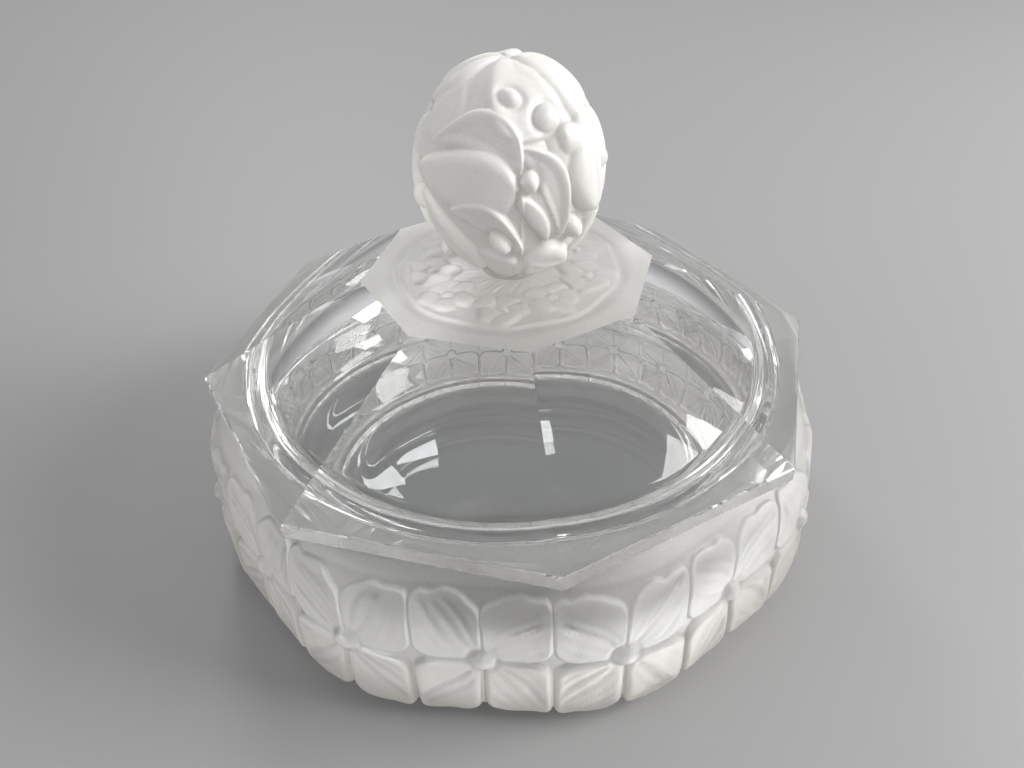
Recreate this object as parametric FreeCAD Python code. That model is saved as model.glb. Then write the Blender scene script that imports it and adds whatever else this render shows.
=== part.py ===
import FreeCAD, Part

# Powder jar of thick pressed and cut glass, in three pieces.
# bowl: a soft-cornered octagonal bowl with a round well. Sixteen four-petalled flowers stand
#   in relief round its frosted side, two to each of the eight sides.
# lid:  an octagonal cover. Eight polished facets rise from an upright rim edge to a frosted
#   octagonal platform, and a round flange underneath drops into the bowl's mouth.
# knob: a frosted egg-shaped knob on a short ground foot, bonded to the middle of the platform.
# Frame: millimetres, +Z up, origin on the table under the middle of the bowl. The bowl's flat
# sides face X and Y.

import math
import os

from FreeCAD import Vector

# Driving dimensions
LID_RADIUS = 68.0          # centre to a corner of the lid's rim
RIM_HEIGHT = 43.0          # table to the upper edge of the lid's rim
KNOB_HEIGHT = 45.4         # knob's foot to its top
FLOWERS = 16               # round the bowl
LID_TURN = -10.0           # degrees that the lid sits turned on the bowl

# Lid
RIM_EDGE = 3.4             # height of the upright rim edge
PLATFORM_RISE = 20.6       # upper rim edge to the platform
PLATFORM_RADIUS = 0.46 * LID_RADIUS
BLOSSOM_DISC_RADIUS = 0.355 * LID_RADIUS
BLOSSOM_DISC_RISE = 0.8    # also how much narrower its top is
FLANGE_RADIUS = 56.2
FLANGE_WIDTH = 4.6
FLANGE_DEPTH = 4.0
FLANGE_ROUND = 0.8
DOME_RISE = 13.4           # upper rim edge to the top of the hollow under the lid

# Knob
KNOB_RADIUS = 0.28 * LID_RADIUS
KNOB_FOOT_RADIUS = 6.8
KNOB_FOOT_HEIGHT = 1.6
KNOB_OFFSET = 0.8          # along X, because the knob is bonded on by hand

# Bowl
SIDES = 8
MOUTH_RADIUS = 57.0
WELL_FLOOR = 12.0          # table to the floor of the well
WELL_FLOOR_RADIUS = 41.0
WELL_WALL_FOOT = 50.0      # radius and height where the well's wall meets its round
WELL_WALL_FOOT_HEIGHT = 19.0
FOOT_RADIUS = 60.0
FOOT_TAPER = 1.2           # how much narrower the foot is on the table
FOOT_HEIGHT = 2.6
SOFT_CORNER = 0.575        # corner round of the bowl's outline, as a share of its half width
RELIEF = 1.4               # how far the petals stand out
BODY_RADIUS = 68.5         # centre to a corner of the body, without the petals
RIM_OUTER_RADIUS = 62.8    # centre to a corner of the bowl's ground top
FLOWER_HEIGHT = 19.6       # table to the middle of a flower
PETAL_UP = 16.0            # reach of the upper petals from the middle of the flower
PETAL_DOWN = 15.6
PETAL_GAP = 0.5            # half of the groove between petals
PETAL_ROUND = 4.2
BEAD_RADIUS = 2.4
BEAD_SINK = 0.4            # how far the bead's middle lies inside the body's surface

HALF_SIDE = math.pi / SIDES
RIM_TOP = RIM_HEIGHT - RIM_EDGE
# Height above the table and radius to a corner of each section of the bowl's body.
BODY_SECTIONS = [
    (FOOT_HEIGHT, 0.963 * BODY_RADIUS),
    (4.2, 0.987 * BODY_RADIUS),
    (7.5, 0.998 * BODY_RADIUS),
    (15.0, BODY_RADIUS),
    (24.0, BODY_RADIUS),
    (30.0, 0.996 * BODY_RADIUS),
    (33.8, 0.984 * BODY_RADIUS),
    (36.4, 0.960 * BODY_RADIUS),
    (38.2, 0.936 * BODY_RADIUS),
]
SHOULDER_HEIGHT, SHOULDER_RADIUS = BODY_SECTIONS[-1]


def at(radius, angle, height):
    """The point at that radius, angle in radians and height."""
    return Vector(radius * math.cos(angle), radius * math.sin(angle), height)


def octagon(radius, height, turn=0.0):
    """A closed octagon with sharp corners, the first of them half a side from +X."""
    angles = [(2 * k + 1) * HALF_SIDE + math.radians(turn) for k in range(SIDES + 1)]
    return Part.makePolygon([at(radius, a, height) for a in angles])


def half_width(corner_radius):
    """Centre to the middle of a side of a soft-cornered octagon with that corner radius."""
    stretch = 1 / math.cos(HALF_SIDE) - 1
    return corner_radius / (1 + stretch * (1 - SOFT_CORNER))


def soft_octagon(corner_radius, height):
    """A closed octagon with large round corners, corner_radius from the centre to a corner."""
    apothem = half_width(corner_radius)
    corner = SOFT_CORNER * apothem
    half_flat = (apothem - corner) * math.tan(HALF_SIDE)
    centre_radius = (apothem - corner) / math.cos(HALF_SIDE)
    edges = []
    for k in range(SIDES):
        side = 2 * k * HALF_SIDE
        along = Vector(-math.sin(side), math.cos(side), 0)
        middle = at(apothem, side, height)
        start, end = middle - along * half_flat, middle + along * half_flat
        edges.append(Part.makeLine(start, end))
        turned = side + HALF_SIDE
        centre = at(centre_radius, turned, height)
        after = at(apothem, side + 2 * HALF_SIDE, height)
        along_after = Vector(-math.sin(side + 2 * HALF_SIDE), math.cos(side + 2 * HALF_SIDE), 0)
        crown = centre + at(corner, turned, 0)
        edges.append(Part.Arc(end, crown, after - along_after * half_flat).toShape())
    return Part.Wire(edges)


def turned_solid(points, arcs=()):
    """A solid of revolution about Z. points are (radius, height); arcs maps the index of an
    edge's first point to a point that the edge bends through."""
    arcs = dict(arcs)
    vectors = [Vector(r, 0, z) for r, z in points]
    edges = []
    for k, start in enumerate(vectors):
        end = vectors[(k + 1) % len(vectors)]
        if k in arcs:
            r, z = arcs[k]
            edges.append(Part.Arc(start, Vector(r, 0, z), end).toShape())
        else:
            edges.append(Part.makeLine(start, end))
    face = Part.Face(Part.Wire(edges))
    return face.revolve(Vector(0, 0, 0), Vector(0, 0, 1), 360)


def body(extra):
    """The bowl's solid body between its foot and its ground top, extra further out."""
    side = Part.makeLoft([soft_octagon(r + extra, z) for z, r in BODY_SECTIONS], True, False)
    shoulder = soft_octagon(SHOULDER_RADIUS + extra, SHOULDER_HEIGHT)
    rim = soft_octagon(RIM_OUTER_RADIUS + extra, RIM_TOP)
    top = Part.makeLoft([shoulder, rim], True, True)
    return side, top


def petal_outline(side, up):
    """The outline of one petal, in the plane of its flower: X is across and Z is up. side and
    up are 1 or -1. The corner that is furthest from the flower's middle is rounded most."""
    near = PETAL_GAP
    across = BODY_RADIUS * math.tan(math.pi / FLOWERS) - PETAL_GAP
    reach = PETAL_UP if up > 0 else PETAL_DOWN
    inset = PETAL_ROUND * (1 - math.sqrt(0.5))
    corners = [
        Vector(near, 0, near),
        Vector(across, 0, near),
        Vector(across, 0, reach - PETAL_ROUND),
        Vector(across - PETAL_ROUND, 0, reach),
        Vector(near, 0, reach),
    ]
    crown = Vector(across - inset, 0, reach - inset)
    edges = [
        Part.makeLine(corners[0], corners[1]),
        Part.makeLine(corners[1], corners[2]),
        Part.Arc(corners[2], crown, corners[3]).toShape(),
        Part.makeLine(corners[3], corners[4]),
        Part.makeLine(corners[4], corners[0]),
    ]
    wire = Part.Wire(edges)
    if side < 0:
        wire = wire.mirror(Vector(0, 0, 0), Vector(1, 0, 0))
    if up < 0:
        wire = wire.mirror(Vector(0, 0, 0), Vector(0, 0, 1))
    return wire


def flower_angles():
    """The direction of each flower, in degrees: one on each corner and one on each side."""
    return [k * 360.0 / FLOWERS for k in range(FLOWERS)]


def petals():
    """All the petals, cut from the body grown by the relief."""
    prisms = []
    for side in (-1, 1):
        for up in (-1, 1):
            outline = petal_outline(side, up)
            prism = Part.Face(outline).extrude(Vector(0, BODY_RADIUS, 0))
            prism.translate(Vector(0, 0.8 * BODY_RADIUS, FLOWER_HEIGHT))
            for angle in flower_angles():
                turned = prism.copy()
                turned.rotate(Vector(0, 0, 0), Vector(0, 0, 1), angle)
                prisms.append(turned)
    side, _ = body(RELIEF)
    return side.common(Part.makeCompound(prisms))


def beads():
    """The bead in the middle of each flower."""
    found = []
    for k, angle in enumerate(flower_angles()):
        radius = half_width(BODY_RADIUS) if k % 2 == 0 else BODY_RADIUS
        middle = at(radius - BEAD_SINK, math.radians(angle), FLOWER_HEIGHT)
        found.append(Part.makeSphere(BEAD_RADIUS, middle))
    return Part.makeCompound(found)


def well():
    """The round well: a flat floor, a round and a slightly flared wall up to the mouth."""
    bend = (WELL_FLOOR_RADIUS + 0.72 * (WELL_WALL_FOOT - WELL_FLOOR_RADIUS),
            WELL_FLOOR + 0.30 * (WELL_WALL_FOOT_HEIGHT - WELL_FLOOR))
    above = RIM_TOP + 5
    points = [
        (0, WELL_FLOOR),
        (WELL_FLOOR_RADIUS, WELL_FLOOR),
        (WELL_WALL_FOOT, WELL_WALL_FOOT_HEIGHT),
        (MOUTH_RADIUS, RIM_TOP - FLANGE_DEPTH - 3),
        (MOUTH_RADIUS, above),
        (0, above),
    ]
    return turned_solid(points, {1: bend})


def make_bowl():
    """The bowl: foot, body, petals and beads, with the well cut out."""
    foot = Part.makeCone(FOOT_RADIUS - FOOT_TAPER, FOOT_RADIUS, FOOT_HEIGHT)
    side, top = body(0.0)
    solid = side.fuse([top, foot, petals(), beads()])
    solid = solid.cut(well())
    return solid.removeSplitter()


def make_lid():
    """The lid: facets and rim edge, the flange below and the shallow hollow inside it."""
    rim = octagon(LID_RADIUS, RIM_TOP, LID_TURN)
    edge = octagon(LID_RADIUS, RIM_HEIGHT, LID_TURN)
    platform = octagon(PLATFORM_RADIUS, RIM_HEIGHT + PLATFORM_RISE, LID_TURN)
    facets = Part.makeLoft([rim, edge, platform], True, True)
    disc = Part.makeCone(
        BLOSSOM_DISC_RADIUS,
        BLOSSOM_DISC_RADIUS - BLOSSOM_DISC_RISE,
        BLOSSOM_DISC_RISE,
        Vector(0, 0, RIM_HEIGHT + PLATFORM_RISE),
    )
    bottom = RIM_TOP - FLANGE_DEPTH
    inside = FLANGE_RADIUS - FLANGE_WIDTH
    flange = turned_solid([
        (inside, RIM_TOP + 1),
        (inside, bottom + FLANGE_ROUND),
        (inside + FLANGE_ROUND, bottom),
        (FLANGE_RADIUS - FLANGE_ROUND, bottom),
        (FLANGE_RADIUS, bottom + FLANGE_ROUND),
        (FLANGE_RADIUS, RIM_TOP + 1),
    ])
    apex = RIM_HEIGHT + DOME_RISE
    sagitta = apex - RIM_TOP
    sphere = (inside ** 2 + sagitta ** 2) / (2 * sagitta)
    half = 0.5 * inside
    bend = (half, apex - sphere + math.sqrt(sphere ** 2 - half ** 2))
    hollow = turned_solid(
        [(0, bottom - 1), (inside, bottom - 1), (inside, RIM_TOP), (0, apex)], {2: bend}
    )
    return facets.fuse([disc, flange]).cut(hollow).removeSplitter()


def make_knob():
    """The knob: a tall round ball on a short ground foot."""
    seat = RIM_HEIGHT + PLATFORM_RISE + BLOSSOM_DISC_RISE
    top = seat + KNOB_HEIGHT - BLOSSOM_DISC_RISE
    centre = top - KNOB_HEIGHT / 2
    ball = Part.makeSphere(1.0)
    grow = FreeCAD.Matrix()
    grow.scale(KNOB_RADIUS, KNOB_RADIUS, KNOB_HEIGHT / 2)
    ball = ball.transformGeometry(grow)
    ball.translate(Vector(0, 0, centre))
    above_seat = Part.makeBox(80, 80, 80, Vector(-40, -40, seat))
    foot = Part.makeCylinder(KNOB_FOOT_RADIUS, KNOB_FOOT_HEIGHT, Vector(0, 0, seat))
    knob = ball.common(above_seat).fuse(foot)
    knob.translate(Vector(KNOB_OFFSET, 0, 0))
    return knob


def export(name, shape):
    """Writes one piece as a STEP file and prints its count of solids and its volume."""
    print(name, "solids", len(shape.Solids), "valid", shape.isValid(), "cm3", round(shape.Volume / 1000, 1))
    shape.Solids[0].exportStep(os.path.join("parts", name + ".step"))


os.makedirs("parts", exist_ok=True)
export("bowl", make_bowl())
export("lid", make_lid())
export("knob", make_knob())
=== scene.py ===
"""A glass powder jar: a bowl with flowers in relief, a cut lid and an egg-shaped knob.

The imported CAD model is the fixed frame, and every piece here is drawn round it in metres. The
outside of the bowl, its ground top, the lid's platform and the knob are acid-frosted. The bowl's well
and base and the lid's eight facets are polished, so the pattern on the far side of the bowl shows
through them. The lid's upright edge has a satin finish.
"""

import logging
import math
from dataclasses import dataclass, field
from enum import Enum
from typing import Any, Sequence, Union

import bpy
import numpy as np
from mathutils import Matrix, Vector


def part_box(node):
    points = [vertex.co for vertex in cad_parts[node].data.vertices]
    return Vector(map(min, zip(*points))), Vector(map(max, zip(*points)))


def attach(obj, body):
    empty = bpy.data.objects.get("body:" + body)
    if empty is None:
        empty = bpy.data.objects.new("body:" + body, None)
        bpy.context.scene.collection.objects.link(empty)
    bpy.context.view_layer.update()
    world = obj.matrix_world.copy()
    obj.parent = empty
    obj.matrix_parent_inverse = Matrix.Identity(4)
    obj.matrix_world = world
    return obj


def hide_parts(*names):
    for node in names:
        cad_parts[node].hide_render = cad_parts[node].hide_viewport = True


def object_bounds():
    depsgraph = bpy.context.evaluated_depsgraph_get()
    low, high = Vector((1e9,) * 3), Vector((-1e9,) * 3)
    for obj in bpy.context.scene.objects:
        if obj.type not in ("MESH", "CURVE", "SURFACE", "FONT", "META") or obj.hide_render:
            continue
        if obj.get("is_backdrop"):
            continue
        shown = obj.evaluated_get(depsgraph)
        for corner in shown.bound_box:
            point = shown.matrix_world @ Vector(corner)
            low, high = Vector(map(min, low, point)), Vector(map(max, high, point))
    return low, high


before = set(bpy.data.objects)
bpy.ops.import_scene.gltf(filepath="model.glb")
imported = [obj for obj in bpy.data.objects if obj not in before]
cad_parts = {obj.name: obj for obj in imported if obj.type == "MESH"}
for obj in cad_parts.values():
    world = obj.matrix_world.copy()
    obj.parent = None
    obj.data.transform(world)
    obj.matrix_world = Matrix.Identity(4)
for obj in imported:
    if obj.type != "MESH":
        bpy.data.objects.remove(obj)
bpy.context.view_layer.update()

LOG = logging.getLogger("powder_jar")

MM = 0.001
SIDES = 8
HALF_SIDE = math.pi / SIDES
LID_TURN = math.radians(-10.0)  # how far the lid sits turned on the bowl
AIR_GAP = 0.12 * MM  # left between two pieces that rest on each other, so that each keeps its surface
GLASS_IOR = 1.51

Number = Union[int, float]
Colour = tuple[float, float, float, float]


# ---------------------------------------------------------------------------------------------
# Shader maths
# ---------------------------------------------------------------------------------------------


class Tree:
    """A material's node tree, with one method that adds any node."""

    def __init__(self, tree: bpy.types.NodeTree) -> None:
        """Empties the tree.

        Args:
            tree: The node tree to fill.
        """
        self.tree = tree
        tree.nodes.clear()

    def node(
        self,
        kind: str,
        settings: dict[str, Any],
        inputs: dict[Union[str, int], Any],
        output: Union[str, int] = 0,
    ) -> "Wire":
        """Adds one node.

        Args:
            kind: The node's type, such as "ShaderNodeMath".
            settings: Properties of the node, set first.
            inputs: Values or wires for the input sockets, by name or place.
            output: Name or place of the output socket to hand back.

        Returns:
            The wire that leaves the output socket.
        """
        made = self.tree.nodes.new(kind)
        for name, value in settings.items():
            setattr(made, name, value)
        for name, value in inputs.items():
            socket = made.inputs[name]
            if isinstance(value, Wire):
                self.tree.links.new(value.socket, socket)
            else:
                socket.default_value = value
        return Wire(self, made.outputs[output] if len(made.outputs) else None)

    def noise(
        self, place: "Wire", scale: float, detail: float, roughness: float = 0.5, distortion: float = 0.0
    ) -> "Wire":
        """Adds a noise pattern.

        Args:
            place: Where each point of the surface is.
            scale: Waves in a metre.
            detail: How many finer layers are added.
            roughness: How strong the finer layers are.
            distortion: How far the pattern is stirred.

        Returns:
            The pattern's value, mostly between 0.25 and 0.75.
        """
        inputs = {
            "Vector": place,
            "Scale": scale,
            "Detail": detail,
            "Roughness": roughness,
            "Distortion": distortion,
        }
        return self.node("ShaderNodeTexNoise", {}, inputs)

    def mixed_colour(self, share: "Wire", first: Any, second: Any) -> "Wire":
        """Mixes two colours.

        Args:
            share: How much of the second colour shows.
            first: A colour or a wire that carries one.
            second: A colour or a wire that carries one.

        Returns:
            The mixed colour.
        """
        return self.node("ShaderNodeMix", {"data_type": "RGBA"}, {0: share, 6: first, 7: second}, 2)

    def glass(self, colour: Any, rough: "Wire", clarity: float, normal: "Wire") -> None:
        """Adds a glass shader and ends the tree with it.

        Args:
            colour: A colour or a wire that carries one.
            rough: Roughness.
            clarity: Share of the light that goes through.
            normal: The bumped normal.
        """
        inputs = {
            "Base Color": colour,
            "Roughness": rough,
            "IOR": GLASS_IOR,
            "Transmission Weight": clarity,
            "Normal": normal,
        }
        surface = self.node("ShaderNodeBsdfPrincipled", {}, inputs)
        self.node("ShaderNodeOutputMaterial", {}, {"Surface": surface})


class Wire:
    """One output socket. Arithmetic on it adds Math nodes to its tree."""

    def __init__(self, tree: Tree, socket: Any) -> None:
        """Wraps a socket.

        Args:
            tree: The tree that the socket belongs to.
            socket: The output socket, or None for an end node.
        """
        self.tree = tree
        self.socket = socket

    def _math(self, operation: str, first: Any, second: Any) -> "Wire":
        """Adds a Math node on two values or wires and returns its result."""
        return self.tree.node("ShaderNodeMath", {"operation": operation}, {0: first, 1: second})

    def __add__(self, other: Union["Wire", Number]) -> "Wire":
        """self + other."""
        return self._math("ADD", self, other)

    def __radd__(self, other: Number) -> "Wire":
        """other + self."""
        return self._math("ADD", other, self)

    def __sub__(self, other: Union["Wire", Number]) -> "Wire":
        """self - other."""
        return self._math("SUBTRACT", self, other)

    def __rsub__(self, other: Number) -> "Wire":
        """other - self."""
        return self._math("SUBTRACT", other, self)

    def __mul__(self, other: Union["Wire", Number]) -> "Wire":
        """self * other."""
        return self._math("MULTIPLY", self, other)

    def __rmul__(self, other: Number) -> "Wire":
        """other * self."""
        return self._math("MULTIPLY", other, self)

    def clipped(self) -> "Wire":
        """The value held between 0 and 1."""
        return self.tree.node("ShaderNodeClamp", {}, {"Value": self})

    def band(self, low: float, high: float, start: float = 0.0, end: float = 1.0) -> "Wire":
        """Maps low..high smoothly to start..end, and holds the ends.

        Args:
            low: Value that gives start.
            high: Value that gives end.
            start: Result at and below low.
            end: Result at and above high.

        Returns:
            The mapped value.
        """
        inputs = {"Value": self, "From Min": low, "From Max": high, "To Min": start, "To Max": end}
        return self.tree.node("ShaderNodeMapRange", {"interpolation_type": "SMOOTHSTEP"}, inputs)


# ---------------------------------------------------------------------------------------------
# Glass finishes
# ---------------------------------------------------------------------------------------------

WHITE_BLOOM: Colour = (0.975, 0.968, 0.945, 1.0)


def new_material(name: str) -> tuple[bpy.types.Material, Tree]:
    """Makes a material with an empty node tree.

    Args:
        name: The material's name.

    Returns:
        The material and its tree.
    """
    made = bpy.data.materials.new(name)
    made.use_nodes = True
    return made, Tree(made.node_tree)


@dataclass(frozen=True)
class FrostedGlass:
    """Acid-frosted glass: a white bloom on a rough refracting surface, thin on the worn high places.

    Attributes:
        name: The material's name.
        bloom: Colour of the frosting.
        hollow: Colour painted in the grooves as painted shade, and the colour of the real dust specks.
        painted_glow_tone: Colour painted low on the piece as painted light: warmer and brighter for the
            light that the thick glass behind it carries.
        foot_height: Height above the table up to which that tone shows.
        glow_blend: Height over which the one tone turns into the other.
        clarity: Share of the light that goes through and doesn't scatter in the bloom.
        roughness: Roughness of the frosted surface.
        worn: Roughness where hands have rubbed the high places.
        grain: Height of the etched grain.
    """

    name: str
    bloom: Colour = WHITE_BLOOM
    hollow: Colour = (0.70, 0.69, 0.66, 1.0)
    painted_glow_tone: Colour = WHITE_BLOOM
    foot_height: float = 0.0
    glow_blend: float = 3.0 * MM
    clarity: float = 0.80
    roughness: float = 0.52
    worn: float = 0.34
    grain: float = 0.05 * MM

    def material(self) -> bpy.types.Material:
        """Makes the material. The piece's "relief" attribute is 0 in a groove and 1 on a rim. The grooves
        are painted darker as painted shade, in patches set by clouds; real dust lies over the surface in
        specks and fine grains; the rims are rubbed smoother; and the whole surface has a fine etched
        grain.

        Returns:
            The material.
        """
        made, tree = new_material(self.name)
        place = tree.node("ShaderNodeTexCoord", {}, {}, "Object")
        relief = tree.node("ShaderNodeAttribute", {"attribute_name": "relief"}, {}, "Fac")
        cloud = tree.noise(place, 95.0, 4.0, 0.6)
        speck = tree.noise(place, 1100.0, 3.0, 0.7)
        grain = tree.noise(place, 2600.0, 2.0)
        # Painted shade: the grooves are darkened towards the hollow colour. The specks and grain added on
        # the next line are real dust.
        dust_and_groove_shade = (1.0 - relief).band(0.30, 0.85) * cloud.band(0.3, 0.75, 0.55, 1.0)
        dust_and_groove_shade = dust_and_groove_shade + speck.band(0.58, 0.72) * 0.30 + grain.band(0.35, 0.65) * 0.16
        height = tree.node("ShaderNodeSeparateXYZ", {}, {"Vector": place}, "Z")
        # Painted light: below foot_height the bloom turns into the warmer, brighter painted glow tone.
        uneven = height + (cloud - 0.5) * 4.0 * MM
        glow_share = uneven.band(self.foot_height - self.glow_blend, self.foot_height, 1.0, 0.0)
        tone = tree.mixed_colour(glow_share, self.bloom, self.painted_glow_tone)
        colour = tree.mixed_colour(dust_and_groove_shade.clipped(), tone, self.hollow)
        rubbed = relief.band(0.72, 1.0) * cloud.band(0.35, 0.65)
        rough = self.roughness + cloud.band(0.25, 0.75, -0.05, 0.05)
        rough = rough + rubbed * (self.worn - self.roughness)
        etching = grain + speck + cloud * 2.0
        bump = {"Strength": 0.9, "Distance": self.grain, "Height": etching}
        tree.glass(colour, rough, self.clarity, tree.node("ShaderNodeBump", {}, bump))
        return made


@dataclass(frozen=True)
class PolishedGlass:
    """Clear polished glass with the faint haze, smears and hairline scratches of use.

    Attributes:
        name: The material's name.
        tint: Colour that the glass gives to what is seen through it.
        haze: Roughness of a smear.
        scratch: Roughness of a scratch.
        ripple: Depth of the surface's slow waves.
    """

    name: str
    tint: Colour = (0.985, 0.992, 0.988, 1.0)
    haze: float = 0.035
    scratch: float = 0.16
    ripple: float = 0.12 * MM

    def material(self) -> bpy.types.Material:
        """Makes the material. Wide soft noise is the smears, and stirred fine noise the scratches.

        Returns:
            The material.
        """
        made, tree = new_material(self.name)
        place = tree.node("ShaderNodeTexCoord", {}, {}, "Object")
        smear = tree.noise(place, 38.0, 3.0, distortion=1.2)
        hairs = tree.noise(place, 210.0, 5.0, 0.75, 4.0)
        rough = smear.band(0.52, 0.72, 0.0, self.haze) + hairs.band(0.70, 0.74, 0.0, self.scratch)
        bump = {"Strength": 0.35, "Distance": self.ripple, "Height": tree.noise(place, 26.0, 1.0)}
        tree.glass(self.tint, rough, 1.0, tree.node("ShaderNodeBump", {}, bump))
        return made


# ---------------------------------------------------------------------------------------------
# Surfaces
# ---------------------------------------------------------------------------------------------


PLAIN_RELIEF = 0.6  # the relief attribute where a surface has no pattern


class Skin(Enum):
    """Which finish a stretch of a piece's surface has."""

    FROSTED = 0
    POLISHED = 1
    SATIN = 2


@dataclass
class Stretch:
    """Rings of one piece's surface that share a finish, in order from its lower pole to its upper.

    Attributes:
        rings: Points, an array of rings by columns by 3, in metres.
        skin: The finish of the faces that end on these rings.
        smooth: Whether those faces are shaded as one curved surface.
        relief: Height of the surface at each point, 0 in a groove and 1 on a rim; None where plain.
    """

    rings: np.ndarray
    skin: Skin
    smooth: bool = True
    relief: Union[np.ndarray, None] = None


def smooth_step(low: float, high: float, value: np.ndarray) -> np.ndarray:
    """0 below low, 1 above high, and 3t^2 - 2t^3 between them.

    Args:
        low: Where the step starts.
        high: Where the step ends.
        value: The values to map.

    Returns:
        An array like value.
    """
    t = np.clip((value - low) / (high - low), 0.0, 1.0)
    return t * t * (3.0 - 2.0 * t)


def bunched(count: int, spacing: float, first: float, strength: float) -> np.ndarray:
    """Fractions from 0 to 1 that crowd together at first, first + spacing, first + 2 spacing and so
    on: t - strength * spacing / 2 pi * sin(2 pi (t - first) / spacing), stretched back to 0 to 1.

    Args:
        count: How many fractions.
        spacing: Distance between two crowded places.
        first: The first crowded place.
        strength: 0 for even steps, and under 1.

    Returns:
        The fractions.
    """
    t = np.linspace(0.0, 1.0, count)
    placed = t - strength * spacing / (2 * math.pi) * np.sin(2 * math.pi * (t - first) / spacing)
    return (placed - placed[0]) / (placed[-1] - placed[0])


def flowing_curve(points: Sequence[tuple[float, ...]], fractions: np.ndarray) -> np.ndarray:
    """A Catmull-Rom curve: between two points it is the cubic whose slope at each point is half of
    the step from the point before to the point after.

    Args:
        points: What the curve passes through.
        fractions: Where to take samples, as shares of the way along it.

    Returns:
        The samples, an array of samples by the points' width.
    """
    given = np.asarray(points, float)
    padded = np.vstack([2 * given[0] - given[1], given, 2 * given[-1] - given[-2]])
    chord = np.concatenate([[0.0], np.cumsum(np.linalg.norm(np.diff(given, axis=0), axis=1))])
    along = fractions * chord[-1]
    k = np.clip(np.searchsorted(chord, along, side="right") - 1, 0, len(given) - 2)
    t = ((along - chord[k]) / (chord[k + 1] - chord[k]))[:, None]
    before, start, end, after = padded[k], padded[k + 1], padded[k + 2], padded[k + 3]
    return 0.5 * (
        2 * start
        + (end - before) * t
        + (2 * before - 5 * start + 4 * end - after) * t**2
        + (3 * start - before - 3 * end + after) * t**3
    )


def grid_normals(grid: np.ndarray) -> np.ndarray:
    """Outward unit normals of a grid whose columns close on themselves: the cross product of the
    step to the next column and the step to the next ring.

    Args:
        grid: Points, rings by columns by 3.

    Returns:
        An array like grid.
    """
    along = np.roll(grid, -1, axis=1) - np.roll(grid, 1, axis=1)
    across = np.gradient(grid, axis=0)
    normal = np.cross(along, across)
    return normal / np.maximum(np.linalg.norm(normal, axis=2, keepdims=True), 1e-12)


def round_ring(middle: Sequence[float], radius: float, angle: np.ndarray, height: float) -> np.ndarray:
    """A level circle: middle + radius * (cos angle, sin angle) at that height.

    Args:
        middle: X and Y of its middle.
        radius: Its radius.
        angle: Direction of each point from the middle.
        height: Its height above the table.

    Returns:
        Points, columns by 3.
    """
    x = middle[0] + radius * np.cos(angle)
    y = middle[1] + radius * np.sin(angle)
    return np.column_stack([x, y, np.full(len(angle), height)])


def between(first: np.ndarray, last: np.ndarray, shares: np.ndarray) -> np.ndarray:
    """Rings between two others: first * (1 - share) + last * share.

    Args:
        first: The ring at share 0, columns by 3.
        last: The ring at share 1.
        shares: Where the new rings lie.

    Returns:
        Points, rings by columns by 3.
    """
    share = shares[:, None, None]
    return first * (1.0 - share) + last * share


def faces_between(lower: np.ndarray, upper: np.ndarray) -> np.ndarray:
    """Faces that join two neighbouring rings. They are quads where both rings have the same number
    of points. Where one has k times as many, each face has k edges on that ring.

    Args:
        lower: Vertex numbers of the lower ring.
        upper: Vertex numbers of the upper ring.

    Returns:
        Vertex numbers, faces by corners.
    """
    count = min(len(lower), len(upper))
    per_lower, per_upper = len(lower) // count, len(upper) // count
    start = np.arange(count)[:, None]
    below = np.append(lower, lower[0])[start * per_lower + np.arange(per_lower + 1)]
    above = np.append(upper, upper[0])[start * per_upper + np.arange(per_upper, -1, -1)]
    return np.concatenate([below, above], axis=1)


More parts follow.
